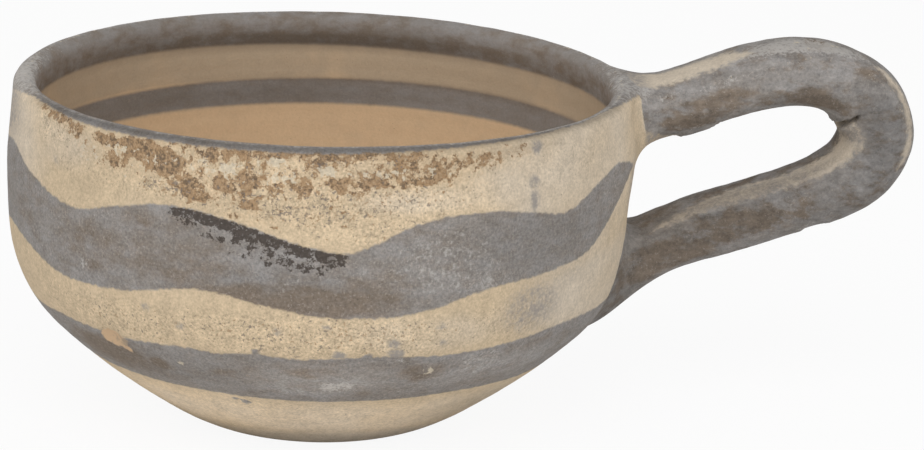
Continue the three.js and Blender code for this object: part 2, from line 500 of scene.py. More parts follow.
def strapTree():
    sizes = {"Route": "Object", "Rings": "Int", "Turns": "Int", "Half Width": "Float", "Squareness": "Float",
             "Thickest": "Float", "End Lean": "Float", "Broad Relief": "Float", "Fine Relief": "Float", "Clay": "Material"}
    g, size = treeOf("strapHandle", sizes)
    grid, number, angle = ringGrid(g, size["Rings"], size["Turns"], 1)
    # the first and the last ring shrink to a point and close the ends
    share = ((number - 1.0) / (size["Rings"] - 3.0)).atLeast(0.0).atMost(1.0)
    isOpen = number.above(0.5) * (size["Rings"] - 1.5).above(number)
    source = g.out("GeometryNodeObjectInfo", None, {"Object": size["Route"]}, "Geometry")
    sampled = g.add("GeometryNodeSampleCurve", {"mode": "FACTOR"}, {"Curves": source, "Factor": share})
    centre = Wire(g, sampled.outputs["Position"])
    way = Wire(g, sampled.outputs["Tangent"])
    sideways = g.join(0.0, 1.0, 0.0)
    outward = way.cross(sideways)
    points = [(place, value / handle["thickest"]) for place, value in handle["halfThickness"]]
    curve = g.out("ShaderNodeFloatCurve", {"curve": points}, {"Value": share})
    power = g.join(2.0, 0.0, 0.0) / size["Squareness"]
    power = g.split(power)[0]
    rise = angle.cosine().sign() * abs(angle.cosine()) ** power * curve * size["Thickest"] * mm
    side = angle.sine().sign() * abs(angle.sine()) ** power * size["Half Width"] * mm
    # the lower end is cut aslant, along the slope of the wall that it meets
    lean = rise * share.ease(0.93, 1.0) * size["End Lean"]
    place = centre + (outward * rise + sideways * side + way * lean) * isOpen
    shape = g.out("GeometryNodeSetPosition", None, {"Geometry": grid, "Position": place})
    shape = closeSeams(g, shape)
    point = g.out("GeometryNodeInputPosition") * 1000.0
    broad = (g.noise(point, 15.0, 1.0, 0.5, 3) - 0.5) * 2.0 * size["Broad Relief"]
    fine = (g.noise(point, 3.4, 2.0, 0.55, 6) - 0.5) * 2.0 * size["Fine Relief"]
    closeTree(g, pushed(g, shape, broad + fine), size["Clay"])
    return g


def makeHandle(clay):
    route = lineObject("handleRoute", np.insert(handleLine, 1, 0.0, axis=1))
    values = {"Route": route, "Rings": handle["rings"], "Turns": handle["turnSteps"],
              "Half Width": handle["halfWidth"], "Squareness": handle["squareness"],
              "Thickest": handle["thickest"], "End Lean": handle["endLean"], "Broad Relief": handle["broadRelief"],
              "Fine Relief": handle["fineRelief"], "Clay": clay}
    holder = grown("loopHandle", strapTree(), values)
    bpy.data.objects.remove(route)
    return holder


# marks that time and the potter left, pressed into the plain meshes

wallMarks = [
    {"place": (-134.4, 26.0), "size": (3.2, 2.1), "depth": 0.55, "bare": True},
    {"place": (-130.8, 25.3), "size": (0.8, 1.1), "depth": 0.45, "bare": False, "tilt": -30},
    {"place": (-131.9, 24.3), "size": (1.1, 0.7), "depth": 0.3, "bare": True, "tilt": -35},
    {"place": (-72.8, 24.4), "size": (2.3, 1.2), "depth": -0.7, "bare": False},
    {"place": (-67.0, 24.2), "size": (2.4, 1.2), "depth": 0.3, "bare": False},
    {"place": (-110.4, 15.1), "size": (2.0, 0.75), "depth": 0.6, "bare": False, "tilt": -23},
    {"place": (-120.0, 23.8), "size": (1.2, 0.7), "depth": -0.2, "bare": False, "tilt": -25},
    {"place": (-106.5, 23.0), "size": (0.8, 0.35), "depth": -0.15, "bare": True},
    {"place": (-147.1, 55.1), "size": (0.6, 0.8), "depth": 0.4, "bare": False},
    {"place": (-150.0, 64.9), "size": (2.6, 0.8), "depth": 0.35, "bare": False},
    {"place": (118.0, 64.8), "size": (3.0, 1.0), "depth": 0.5, "bare": True},
    {"place": (72.0, 40.5), "size": (2.2, 1.4), "depth": 0.4, "bare": True},
    {"place": (150.0, 20.5), "size": (1.8, 1.2), "depth": 0.35, "bare": True},
]

handleMarks = [
    {"place": (10.5, -140.0), "size": (5.5, 5.0), "depth": -0.7, "bare": False},
    {"place": (34.8, -10.0), "size": (2.3, 2.1), "depth": 0.4, "bare": False},
    {"place": (44.4, -150.0), "size": (2.2, 4.4), "depth": -0.6, "bare": False},
    {"place": (46.5, -154.0), "size": (0.85, 5.6), "depth": 2.5, "bare": False},
    {"place": (48.4, -150.0), "size": (1.6, 4.2), "depth": -0.5, "bare": False},
    {"place": (75.2, -30.0), "size": (3.4, 3.2), "depth": 0.7, "bare": False},
    {"place": (88.0, 60.0), "size": (2.4, 1.6), "depth": 0.4, "bare": True},
]


def coordinates(holder, kind="vertices", field="co"):
    source = getattr(holder.data, kind)
    values = np.empty(len(source) * 3)
    source.foreach_get(field, values)
    return values.reshape(-1, 3)


def press(holder, marks, centreOf, axesOf):
    # each mark is an uneven oval, pressed in or, with a negative depth, raised
    points = coordinates(holder) / mm
    normals = coordinates(holder, "vertex_normals", "vector")
    bare = np.full(len(points), -9.0)
    for number, mark in enumerate(marks):
        centre = centreOf(mark["place"])
        first, second = axesOf(mark["place"])
        tilt = math.radians(mark.get("tilt", 0))
        first, second = (first * math.cos(tilt) + second * math.sin(tilt),
                         second * math.cos(tilt) - first * math.sin(tilt))
        gap = points - centre
        near = np.linalg.norm(gap, axis=1) < 4 * max(mark["size"])
        length = np.hypot(gap[near] @ first / mark["size"][0], gap[near] @ second / mark["size"][1])
        length += 0.16 * rippled(points[near], max(mark["size"]) * 1.3, number)
        length += 0.14 * rippled(points[near], 1.6, number + 20)
        facing = (normals[near] @ np.cross(first, second)) > 0.2
        fall = np.where(facing, 1 - ease(length, 0.45, 1.05), 0.0)
        points[near] -= normals[near] * (fall * mark["depth"])[:, None]
        if mark["bare"]:
            inside = np.where(facing, (1.0 - length) * min(mark["size"]), -9.0)
            bare[near] = np.maximum(bare[near], inside)
    holder.data.vertices.foreach_set("co", (points * mm).ravel())
    holder.data.update()
    return bare


def wallAxes(place):
    # level and uphill directions at a place of the outer wall
    azimuth, height = place
    level = outsidePoint(azimuth + 0.5, height) - outsidePoint(azimuth - 0.5, height)
    uphill = outsidePoint(azimuth, height + 0.5) - outsidePoint(azimuth, height - 0.5)
    return level / np.linalg.norm(level), uphill / np.linalg.norm(uphill)


def strapAxes(place):
    along, around = place
    onward = handlePoint(along + 0.5, around) - handlePoint(along - 0.5, around)
    across = handlePoint(along, around + 4.0) - handlePoint(along, around - 4.0)
    return onward / np.linalg.norm(onward), across / np.linalg.norm(across)


# luting clay: smoothed over the crease between strap and wall, in a fillet that is wider on some sides

upperLute = {
    "from": -2.4,
    "way": 1,
    "fillet": [(0, 3.4), (45, 5.0), (90, 6.5), (135, 8.0), (180, 8.5)],
    "columns": 176,
    "rows": 44,
    "reach": 1.1,
    "sink": 0.07,
    "bodyDepth": 1.3,
}

lowerLute = {
    "from": 113.0,
    "way": -1,
    "fillet": [(0, 13.5), (45, 12.5), (90, 9.0), (135, 5.0), (180, 3.2)],
    "columns": 176,
    "rows": 44,
    "reach": 1.1,
    "sink": 0.07,
    "bodyDepth": 1.3,
}

marchStep = 0.3
marchLimit = 90
settleSteps = 7


def searchTree(holder):
    points = coordinates(holder) / mm
    return BVHTree.FromPolygons(points.tolist(), [tuple(face.vertices) for face in holder.data.polygons])


def nearby(tree, point):
    # signed distance to a surface, its outward direction there and the nearest place on it
    place, normal, _, distance = tree.find_nearest(point)
    gap = point - place
    sign = 1.0 if gap.dot(normal) > 0 else -1.0
    way = gap * (sign / distance) if distance > 0.05 else normal
    return sign * distance, way, place


def filleted(point, wall, strap, fillet):
    # distance to the two surfaces joined by a fillet, its direction, and how far the nearer one leads
    toWall, wallWay, _ = nearby(wall, point)
    toStrap, strapWay, _ = nearby(strap, point)
    share = min(1.0, max(0.0, 0.5 + 0.5 * (toStrap - toWall) / fillet))
    distance = toStrap + (toWall - toStrap) * share - fillet * share * (1 - share)
    return distance, strapWay.lerp(wallWay, share).normalized(), abs(toWall - toStrap) / fillet


def strapSide(around, lute, wall, far):
    # where one line along the strap leaves the wall, and where the wall is far enough away
    crease = None
    for step in range(4 * marchLimit):
        spot = Vector(handlePoint(lute["from"] + lute["way"] * step * marchStep, around))
        depth = nearby(wall, spot)[0]
        if crease is None and depth > 0:
            crease = spot
        if depth >= far:
            return crease, spot


def wallSide(crease, wall, strap, far):
    # walk over the wall straight away from the strap
    spot = nearby(wall, crease)[2]
    for _ in range(marchLimit):
        toStrap, away, _ = nearby(strap, spot)
        if toStrap >= far:
            break
        facing = nearby(wall, spot)[1]
        level = away - facing * away.dot(facing)
        spot = nearby(wall, spot + level.normalized() * marchStep)[2]
    return spot


def roundSmoothed(ring):
    # evens out a closed ring of points
    for _ in range(6):
        ring = (np.roll(ring, 1, axis=0) + 2 * ring + np.roll(ring, -1, axis=0)) / 4
    return ring


def gridSmoothed(grid):
    # the same along and across, with the first and the last row left in place
    grid = (np.roll(grid, 1, axis=1) + 2 * grid + np.roll(grid, -1, axis=1)) / 4
    grid[1:-1] = (grid[:-2] + 2 * grid[1:-1] + grid[2:]) / 4
    return grid


def makeLute(name, lute, wall, strap, clay):
    arounds = np.linspace(-180, 180, lute["columns"], endpoint=False)
    angles, sizes = zip(*lute["fillet"])
    fillets = np.interp(np.abs(arounds), angles, sizes)
    collar, crease, skirt = [], [], []
    for around, fillet in zip(arounds, fillets):
        far = fillet * lute["reach"]
        corner, end = strapSide(around, lute, wall, far)
        collar.append(end)
        crease.append(corner)
        skirt.append(wallSide(corner, wall, strap, far))
    collar, crease, skirt = (roundSmoothed(np.array(ring)) for ring in (collar, crease, skirt))
    share = np.linspace(0, 1, lute["rows"])[:, None, None]
    guess = (1 - share) ** 2 * collar + 2 * share * (1 - share) * crease + share**2 * skirt
    top = np.empty_like(guess)
    way = np.empty_like(guess)
    sunk = np.empty((lute["rows"], lute["columns"], 1))
    for row in range(lute["rows"]):
        for column, fillet in enumerate(fillets):
            spot = Vector(guess[row, column])
            for _ in range(settleSteps):
                distance, facing, lead = filleted(spot, wall, strap, fillet)
                spot = spot - facing * distance
            top[row, column] = spot
            way[row, column] = facing
            sunk[row, column] = lute["sink"] * ease(lead, 0.96, lute["reach"])
    for _ in range(2):
        top = gridSmoothed(top)
        way = gridSmoothed(way)
    depth = lute["bodyDepth"] * np.sin(np.pi * (np.arange(lute["rows"]) + 0.5) / lute["rows"])[:, None, None]
    top -= way * sunk
    rings = np.concatenate([top, (top - way * depth)[::-1]])
    count = lute["columns"]
    points = rings.reshape(-1, 3)
    ringStart = [ring * count for ring in range(len(rings))]
    faces = []
    for here, there in zip(ringStart, ringStart[1:] + ringStart[:1]):
        for side in range(count):
            onward = (side + 1) % count
            faces.append((here + side, here + onward, there + onward, there + side))
    if lute["way"] < 0:
        faces = [face[::-1] for face in faces]
    mesh = bpy.data.meshes.new(name)
    mesh.from_pydata((points * mm).tolist(), [], faces)
    mesh.materials.append(clay)
    mesh.shade_smooth()
    holder = bpy.data.objects.new(name, mesh)
    bpy.context.scene.collection.objects.link(holder)
    return holder


# painted skin: where each coat lies, as one number per point; heights in millimetres over azimuths in degrees

bands = {
    "waveTop": [
        (-167, 55.5), (-156, 52.6), (-141, 49.7), (-131, 52.1), (-120, 54.2), (-108, 52.7), (-97, 49.4),
        (-92, 48.2), (-89, 47.9), (-86, 48.7), (-76, 53.1), (-64, 54.0), (-54, 52.5), (-46, 51.1), (-37, 54.1),
        (-29, 56.3), (-23, 55.4), (-18, 54.0), (-14, 53.2), (4, 54.2), (20, 55.4), (33, 54.0), (48, 50.2), (64, 53.4), (84, 54.6),
        (101, 50.4), (116, 52.4), (133, 55.2), (150, 50.8), (168, 50.4), (181, 53.8),
    ],
    "waveBottom": [
        (-168, 40.0), (-157, 38.8), (-146, 36.3), (-131, 36.6), (-114, 39.6), (-103, 37.9), (-92, 36.0),
        (-77, 36.5), (-63, 39.7), (-49, 40.4), (-38, 41.6), (-32, 44.7), (-26, 48.6), (-19, 52.2), (0, 53.4),
        (18, 53.0), (27, 48.2), (34, 43.0), (46, 40.2), (60, 37.0), (76, 37.6), (92, 40.2), (108, 38.2),
        (124, 36.0), (142, 38.8), (158, 37.0), (178, 38.0),
    ],
    "lowTop": [
        (-160, 26.2), (-150, 27.0), (-137, 26.9), (-129, 26.9), (-118, 27.7), (-112, 27.3), (-105, 28.0),
        (-98, 27.5), (-82, 28.1), (-72, 27.5), (-58, 27.8), (-44, 28.7), (-24, 28.0), (30, 29.0), (90, 27.2), (150, 26.0),
    ],
    "lowBottom": [(-160, 16.6), (-137, 16.8), (-110, 16.7), (-88, 16.5), (-60, 17.0), (-40, 16.2), (60, 16.4), (140, 17.4)],
    "rimOutside": [
        (-178, 63.4), (-165, 65.2), (-157, 65.7), (-138, 65.1), (-120, 65.25), (-90, 65.4), (-62, 65.7), (-45, 65.85), (-24, 65.8),
        (-11, 64.6), (0, 63.6), (11, 64.2), (22, 65.4), (60, 65.3), (110, 65.2), (145, 64.8), (168, 63.4),
    ],
    "rimInside": [(-160, 59.2), (-60, 59.8), (40, 59.2), (130, 59.7)],
    "innerTop": [(-150, 52.6), (-30, 52.2), (60, 52.5), (140, 51.9)],
    "innerBottom": [(-150, 46.8), (-40, 46.6), (50, 46.9), (130, 46.5)],
}

# soft ovals on the wall: [azimuth, height, half width in degrees, half height, strength]
wallPatches = {
    "wash": [
        (-102, 60.6, 52, 6.0, 0.48), (-113, 56.4, 13, 4.0, 0.36), (-98, 54.6, 26, 3.4, 0.34),
        (-154, 65.3, 5, 0.9, 0.62), (-148, 64.7, 6, 1.4, 0.66), (-142, 63.7, 5, 2.2, 0.66), (-138, 61.2, 4, 2.0, 0.52),
        (-134, 63.4, 5, 2.0, 0.74), (-131, 60.0, 3.5, 1.8, 0.66), (-126, 63.0, 7, 3.0, 0.88),
        (-121.5, 61.6, 6, 3.4, 0.95), (-117, 58.4, 4.5, 2.4, 0.72), (-115, 56.8, 5, 1.6, 0.75), (-113, 64.0, 5, 1.8, 0.8),
        (-110, 59.0, 4, 2.6, 0.78), (-106, 60.0, 4, 2.6, 0.8), (-105, 63.6, 5, 2.2, 0.62), (-106, 56.6, 3, 2.6, 0.7),
        (-97, 59.6, 3.4, 2.2, 0.78), (-94, 63.4, 4, 2.4, 0.75), (-90, 60.2, 4, 1.8, 0.78), (-85, 60.4, 6, 1.6, 0.8),
        (-78, 62.6, 12, 3.4, 0.66), (-76, 60.6, 11, 1.6, 0.64), (-66, 63.4, 9, 2.6, 0.58), (-58, 64.0, 6, 2.0, 0.5), (-97, 64.9, 36, 1.4, 0.72),
        (-108, 53.8, 2.4, 1.0, 0.6), (-104.5, 55.4, 2.2, 1.0, 0.66), (-101, 52.4, 1.8, 0.8, 0.56), (-124, 58.0, 4, 1.4, 0.5),
    ],
    "flaked": [
        (-110, 61.6, 28, 3.4, 0.38), (-115, 61.4, 3.4, 2.4, 0.42), (-109.5, 61.8, 3.2, 1.6, 0.66),
        (-101, 63.4, 3.4, 1.8, 0.64), (-92.5, 62.2, 3, 1.6, 0.66), (-100, 60.8, 3, 1.4, 0.6), (-131, 62.4, 3, 1.6, 0.55),
        (-120, 23.8, 1.6, 0.9, 1.0), (-73, 24.4, 2.4, 1.3, 1.0), (-138, 60.4, 6, 2.6, 0.5), (-78, 61.8, 14, 1.6, 0.5), (-124, 57.6, 8, 2.0, 0.36), (-84, 58.6, 9, 0.8, 0.4),
    ],
    "island": [
        (-110, 50.2, 2.0, 1.0, 0.3), (-108, 47.8, 2.2, 1.2, 0.4), (-104, 46.8, 2.2, 1.2, 0.35),
        (-100, 48.4, 1.8, 1.2, 0.3), (-114, 51.0, 1.6, 0.8, 0.3), (-96, 46.4, 2.0, 0.9, 0.25),
    ],
    "rust": [
        (-97, 38.8, 26, 4.4, 0.76), (-118, 44.5, 16, 7.0, 0.5), (-136, 43.5, 13, 7.0, 0.5), (-84, 41.0, 9, 5.4, 0.5),
        (-157, 44.0, 4, 2.4, 0.5), (-150, 41.0, 10, 4.0, 0.3), (-138, 22.0, 15, 5.0, 0.75), (-125.5, 22.6, 3, 2.0, 0.85),
        (-111, 23.0, 4, 1.6, 0.6), (-85, 19.0, 4, 1.2, 0.5), (-73.5, 23.6, 7, 2.8, 0.7), (-95, 24.5, 7, 2.0, 0.5),
        (-50, 22.0, 10, 1.4, 0.3), (-122, 51.0, 10, 2.6, 0.5), (-156, 50.0, 8, 5.0, 0.4), (112, 44.0, 22, 6.0, 0.8), (60, 22.0, 24, 3.0, 0.6),
        (168, 21.0, 16, 3.0, 0.6),
    ],
    "bloom": [
        (-72, 45.4, 15, 8.5, 0.78), (-90, 45.0, 16, 3.6, 0.45), (-64, 41.4, 8, 3.6, 0.72), (-138, 40.6, 3, 2.4, 0.75),
        (-145, 47.0, 6, 2.6, 0.55), (-134, 50.0, 8, 2.2, 0.55), (-128, 46.6, 12, 3.8, 0.45), (-52, 47.0, 14, 6.0, 0.4),
        (-89.5, 20.8, 5, 1.9, 1.25), (-79.5, 27.0, 2.6, 1.2, 0.9), (-62, 24.6, 6, 4.0, 0.8), (-98, 19.4, 8, 1.6, 0.6),
        (-101, 43.0, 8, 2.6, 0.55), (-165, 47.0, 8, 6.0, 0.4), (-112, 20.0, 9, 2.4, 0.45), (60, 45.0, 24, 8.0, 0.6),
        (-30, 51.0, 10, 5.0, 0.5), (140, 44.0, 20, 6.0, 0.5), (160, 22.0, 20, 4.0, 0.4), (35, 22.0, 16, 5.0, 0.5), (-74, 20.5, 14, 3.0, 0.5),
    ],
    "grit": [
        (-92, 57.0, 36, 5.5, 0.95), (-95, 32.0, 38, 6.0, 0.95), (-78, 52.0, 26, 5.0, 0.8), (-130, 31.0, 18, 5.0, 0.85),
        (-146, 31.5, 12, 5.0, 0.5), (-140, 58.0, 14, 4.0, 0.5),
        (-96, 63.0, 50, 3.4, 0.8), (-148, 63.0, 9, 4.0, 0.9), (-120, 57.2, 8, 2.4, 1.3), (-94, 55.0, 16, 3.4, 1.15), (-104, 12.0, 40, 6.0, 0.4), (-128, 57.0, 16, 4.0, 0.6), (100, 32.0, 40, 6.0, 0.7),
        (80, 60.0, 50, 5.0, 0.7), (-58, 33.0, 16, 5.0, 0.65), (-45, 60.0, 16, 6.0, 0.4),
    ],
    "stain": [
        (-53.4, 64.2, 1.5, 1.5, 0.8), (-54.3, 58.0, 1.4, 1.4, 0.95), (-54.2, 54.8, 1.3, 2.6, 0.75),
        (-89.7, 28.4, 1.6, 0.9, 1.0), (-80.2, 30.8, 1.2, 1.1, 0.9), (-79.6, 28.7, 1.8, 1.1, 1.0), (-71, 30.2, 1.0, 0.8, 0.8),
        (-52.5, 34.2, 9, 6.0, 0.55), (-44, 38.5, 10, 3.0, 0.28), (-124.6, 34.6, 1.2, 0.9, 0.6), (-118, 32.0, 1.1, 0.9, 0.6),
        (-147, 57.0, 1.2, 1.0, 0.4), (-100.5, 33.0, 1.0, 0.8, 0.6), (-92, 34.0, 0.9, 0.7, 0.6), (-72, 33.6, 1.2, 0.9, 0.6),
        (-14, 49.5, 5.5, 6.0, 0.5), (-177, 61.5, 16, 8.0, 0.66), (-146, 58.6, 8, 3.0, 0.15), (120, 60.0, 30, 3.0, 0.3), (70, 33.0, 14, 3.0, 0.3),
        (-18, 30.0, 14, 6.0, 0.15),
    ],
    "blots": [
        (-104.6, 28.5, 1.3, 1.0, 1.0), (-84.4, 28.2, 1.3, 1.1, 1.0), (-111.6, 15.5, 1.8, 0.75, 1.0),
        (-109.6, 14.7, 1.8, 0.75, 1.0),
    ],
    "chalk": [
        (-172, 58.0, 26, 14.0, 0.75), (-38, 56.0, 34, 24.0, 0.6), (-150, 60.0, 16, 6.0, 0.45), (-75, 10.0, 90, 8.0, 0.5),
        (-30, 34.0, 30, 10.0, 0.7), (-60, 58.0, 16, 6.0, 0.5), (90, 58.0, 60, 8.0, 0.5), (-72, 57.0, 16, 3.0, 0.5),
        (-85, 3.0, 60, 4.0, 0.8), (-74, 32.0, 20, 5.0, 0.4),
    ],
    "paler": [
        # the first two ovals, low on the left and the front, are painted light standing in for light thrown up from the
        # floor
        (-122, 11.5, 34, 7.0, 0.26), (-80, 11.0, 30, 6.0, 0.22), (-92, 53.0, 26, 4.0, 0.05), (-92, 22.5, 18, 4.6, 0.28),
        (-58, 23.0, 20, 5.0, 0.16), (-22, 56.0, 12, 12.0, 0.1), (-88, 33.0, 24, 5.0, 0.06), (-106, 60.0, 32, 6.0, 0.08),
        (-72, 57.5, 14, 4.0, 0.1),
    ],
    "darker": [
        # the first two ovals are painted shade: darker towards the bottom along the front, and low on the right, where
        # less light falls
        (-90, 2.0, 80, 4.6, 0.3), (-52, 10.0, 20, 5.0, 0.15), (-54, 64.6, 14, 1.2, 0.12), (-104, 55.5, 24, 2.5, 0.06),
        (-140, 57.0, 12, 6.0, 0.06), (-56, 47.0, 20, 6.0, 0.12), (-101, 42.6, 12, 3.0, 0.12), (-126, 22.0, 16, 4.0, 0.06),
    ],
}

sooted = {
    "from": -121.5,
    "to": -87.0,
    "lowerEdge": [
        (-122, 53.0), (-118, 51.3), (-115, 50.3), (-112, 49.2), (-108, 46.6), (-104, 45.6), (-100, 44.9),
        (-97, 44.6), (-94, 44.0), (-91, 44.4), (-88.5, 46.2), (-86, 48.5),
    ],
}

outerStripe = [
    (-3, -14, 2.8), (2, -14, 3.0), (8, -13, 2.8), (16, -13, 2.6), (20, -15, 2.0), (23, -17, 0.8),
    (26, -20, -2.0), (42, -26, -2.0), (45, -30, 0.5), (50, -38, 1.2), (56, -50, 1.2), (61, -60, -1.5),
]

innerStripe = [
    (45.8, -148, -1.0), (47.0, -150, 3.6), (52, -151, 4.2), (58, -151, 3.5), (65, -152, 2.5), (80, -156, 2.1),
    (92, -156, 1.8), (99, -149, 1.0), (104, -140, 0.2), (108, -130, -2.0),
]

rootReserve = [(-3, -172, 8.6), (0.5, -172, 8.0), (3.0, -172, 6.6), (5.2, -172, 5.0), (6.6, -172, 3.0), (8.0, -172, -1.0)]

# soft ovals on the strap: [millimetres from the root, degrees round, half length, half width in degrees, strength]
strapPatches = {
    "rust": [
        (13, -100, 10, 30, 0.95), (34, -116, 13, 24, 0.85), (90, -100, 18, 34, 0.75), (104, -84, 12, 36, 0.85),
        (28, -168, 18, 40, 0.6), (44, -44, 6, 22, 0.4), (24, -46, 7, 16, 0.3), (118, -90, 7, 60, 0.5),
        (80, -178, 30, 24, 0.4), (60, -60, 6, 18, 0.3), (34.8, -10, 2.4, 16, 1.2), (40, 70, 14, 30, 0.6), (95, 80, 14, 30, 0.6),
    ],
    "bloom": [
        (32, -18, 14, 30, 1.5), (-1, -30, 5, 60, 1.1), (9, -62, 10, 14, 0.65), (16, -66, 9, 14, 0.8), (27, -62, 9, 22, 0.5),
        (46, -48, 8, 20, 0.5), (64, -84, 5, 20, 0.35), (78, -98, 5, 20, 0.45), (96, -72, 7, 14, 0.35),
        (76, -52, 4, 16, 0.9), (22, 14, 26, 14, 0.8), (9.8, -124, 2.2, 7, 0.9), (84, -60, 16, 12, 0.3),
        (30, 60, 16, 30, 0.5), (84, 70, 16, 30, 0.5),
    ],
    "flaked": [
        (48, -48, 7, 14, 0.5), (31, -58, 7, 12, 0.45), (96, -104, 9, 12, 0.34), (20, -64, 4, 8, 0.34),
        (54.1, -88, 0.8, 6, 1.0), (34.8, -28, 2.8, 5, 0.9), (31.8, -12, 1.0, 14, 0.8), (37.8, -12, 1.0, 14, 0.8),
        (60, -80, 60, 60, 0.2),
    ],
    "stain": [
        (-2, -10, 5, 60, 0.7), (52, -145, 8, 40, 0.75), (86, -152, 28, 24, 0.5), (12, 14, 16, 14, 0.8),
        (4, -130, 6, 30, 0.7),
    ],
    "darker": [
        # the oval at 46.5 mm, -142 degrees is a painted shadow in the gap of the notch at the inner bend
        (11, -112, 7, 22, 0.16), (8, -128, 4.5, 12, 0.2), (55, -145, 14, 50, 0.2), (54, -90, 13, 42, 0.36), (46.5, -142, 1.0, 28, 0.78), (51, -44, 8, 14, 0.22),
        (66, -80, 22, 60, 0.26), (92, -60, 22, 50, 0.1), (92, -100, 24, 30, 0.28), (118, -60, 12, 70, 0.26),
        (36, -116, 14, 26, 0.22), (84, -152, 28, 16, 0.24), (88, -125, 22, 10, 0.28),
    ],
    "grit": [(60, -80, 60, 90, 0.3)],
}
strapGirth = 7.8

# dark paint round the lower root: how far it runs onto the wall, over the degrees round the strap
rootPaint = [
    (0, 16.0), (86, 16.4), (95, 17.2), (104, 18.6), (113, 18.6), (120, 17.0), (128, 13.6), (138, 9.0), (150, 4.0),
    (165, 0.8), (180, 0.0),
]


def bump(value, centre, width):
    return np.exp(-((value - centre) / width) ** 2)


def patched(first, second, patches):
    # the strongest of some soft ovals
    most = np.zeros(len(first))
    for place, level, halfLength, halfWidth, strength in patches:
        ahead = (first - place + 180) % 360 - 180
        aside = (second - level + 180) % 360 - 180
        away = np.hypot(ahead / halfLength, aside / halfWidth)
        most = np.maximum(most, strength * (1 - ease(away, 0.35, 1.25)))
    return most


def wallCoats(points):
    azimuth = np.degrees(np.arctan2(points[:, 1], points[:, 0]))
    arc, _ = placeOn(outline, np.stack([np.hypot(points[:, 0], points[:, 1]), points[:, 2]], -1))
    crest = outlineLength[lipCrest]
    height = np.interp(arc, outlineLength, outline[:, 1])
    isOutside = arc < crest
    edge = {name: ringLine(line)(azimuth) for name, line in bands.items()}

    def between(low, high, arcOf):
        ends = np.sort(np.stack([arcOf(edge[low]), arcOf(edge[high])]), axis=0)
        return np.minimum(arc - ends[0], ends[1] - arc)

    rim = np.minimum(arc - outsideArc(edge["rimOutside"]), insideArc(edge["rimInside"]) - arc)
    wave = between("waveBottom", "waveTop", outsideArc)
    low = between("lowBottom", "lowTop", outsideArc)
    inner = between("innerBottom", "innerTop", insideArc)
    coats = {name: np.where(isOutside, patched(azimuth, height, ovals), 0) for name, ovals in wallPatches.items()}
    wave -= 3.0 * bump(azimuth, 0, 9)
    coats["paint"] = np.maximum.reduce([rim, wave, low, inner, coats.pop("blots") * 1.3 - 0.85])

    # soot along the crest of the wave, where the paint burnt darker
    soot = ease(azimuth, sooted["from"], sooted["from"] + 3) * (1 - ease(azimuth, sooted["to"] - 3, sooted["to"]))
    above = height - ringLine(sooted["lowerEdge"] + [(0, 50), (140, 50)])(azimuth)
    soot *= (0.6 + 0.28 * ease(height - edge["waveTop"], -2.8, -0.8)) * ease(above, -1.8, 0.8)
    soot *= ease(edge["waveTop"] - height, -0.6, 0.5)
    coats["burnt"] = np.where(isOutside, soot * (1 - coats.pop("island")), 0)

    # the lip: pale on its crest, partly worn and partly a painted highlight, dark below; inside it the rim's band is
    # browner further down, and darker there with painted shade under the lip
    lip = bump(arc, crest + 0.2, 0.7) * (0.8 + 0.5 * bump(azimuth, -40, 35))
    leftEnd = bump((azimuth + 358) % 360 - 180, 0, 24)
    ends = bump(arc, crest, 4.0) * (1.5 * leftEnd + 1.15 * bump(azimuth, -4, 24))
    coats["bloom"] = np.maximum.reduce([coats["bloom"], lip, ends, 0.16 * np.ones(len(arc))])
    coats["flaked"] = np.maximum(coats["flaked"], 0.66 * bump(arc, crest + 0.3, 0.6))
    # inside, the lower part of the rim's band, most at the back, is browner paint and is darkened with painted shade
    # under the lip
    far = 0.34 + 0.66 * bump(azimuth, 88, 46)
    underLipBrownAndShade = np.where(isOutside, 0, 1 - ease(height, 60.8, 63.8)) * far
    upperInside = np.where(isOutside, 0, ease(height, 51.0, 53.0))
    coats["rust"] = np.maximum(coats["rust"], np.where(isOutside, 0.24, 0.3 + 0.5 * underLipBrownAndShade * upperInside))
    coats["darker"] = np.maximum(coats["darker"], 0.42 * underLipBrownAndShade * ease(height, 58.4, 59.4))
    bandShade = 0.2 * bump(height, 49.4, 3.0) * bump(azimuth, 102, 38)
    coats["darker"] = np.maximum(coats["darker"], np.where(isOutside, 0, bandShade))
    farSide = np.abs((azimuth + 90 + 180) % 360 - 180)
    outerLip = bump(arc, crest - 0.7, 0.9) * (1 - ease(farSide, 64, 74))
    coats["darker"] = np.maximum(coats["darker"], 0.42 * outerLip)
    aside = np.where(isOutside, 0, ease(height, 59.4, 61.0)) * ease(np.abs((azimuth - 96 + 180) % 360 - 180), 30, 60)
    # a painted highlight along the crest on the far side of the lip
    farCrestHighlight = bump(arc, crest - 0.2, 0.8) * ease(farSide, 80, 110)
    leftLip = bump(arc, crest, 5.0) * leftEnd
    coats["paler"] = np.maximum.reduce([coats["paler"], 0.14 * aside, 0.3 * farCrestHighlight, 0.24 * leftLip])
    # the upper inside wall above the inner band is a duller slip and is darkened further with painted shade
    coats["dull"] = upperInside
    coats["inside"] = ease(arc, crest - 0.5, crest + 1.5)
    coats["grit"] = np.maximum(coats["grit"], np.where(isOutside, 0.22, 0.12))
    coats["shade"] = 1.0 + coats.pop("paler") - coats.pop("darker")
    coats["mottled"] = np.where(isOutside, 0.25, 0.5 * ease(height, 57.0, 59.0))
    return coats


def stripe(along, around, line):
    # how far inside a stripe that runs along the strap
    place, centre, half = np.array(line, float).T
    middle = np.interp(along, place, centre)
    gap = (around - middle + 180) % 360 - 180
    inside = (along >= place[0]) & (along <= place[-1])
    return np.where(inside, np.interp(along, place, half) - np.abs(np.radians(gap)) * strapGirth, -9.0)


